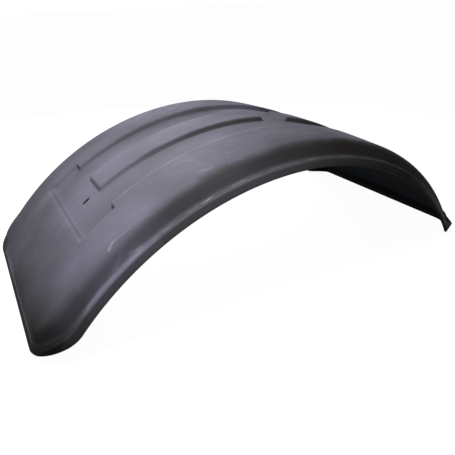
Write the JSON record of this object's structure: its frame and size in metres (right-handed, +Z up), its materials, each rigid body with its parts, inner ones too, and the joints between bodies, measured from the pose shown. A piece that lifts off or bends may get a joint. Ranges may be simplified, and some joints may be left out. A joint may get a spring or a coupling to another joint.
{
  "type": "mudguard",
  "caption": "Arched moulded plastic mudguard with a sunk middle panel, raised ribs along it, stepped side skirts with turned-down lips, and fixing slots.",
  "frame": {"origin": "centre of the bounding box on the plane that the corners stand on", "axes": "+X along the arch towards the end with the tighter corners, +Y across the arch, +Z up from the wheel axis to the crown. The wheel axis runs along Y, 0.3308 m below the origin"},
  "size_m": [1.0914, 0.536, 0.3192],
  "materials": {
    "moulded_plastic": "charcoal moulded polyethylene with a cool cast and a dull satin face, faint streaks along the arch, pale scuffs along the shoulders and ledges, darker and duller inside"
  },
  "bodies": {
    "root": {"mudguard": "moulded_plastic"}
  },
  "joints": []
}
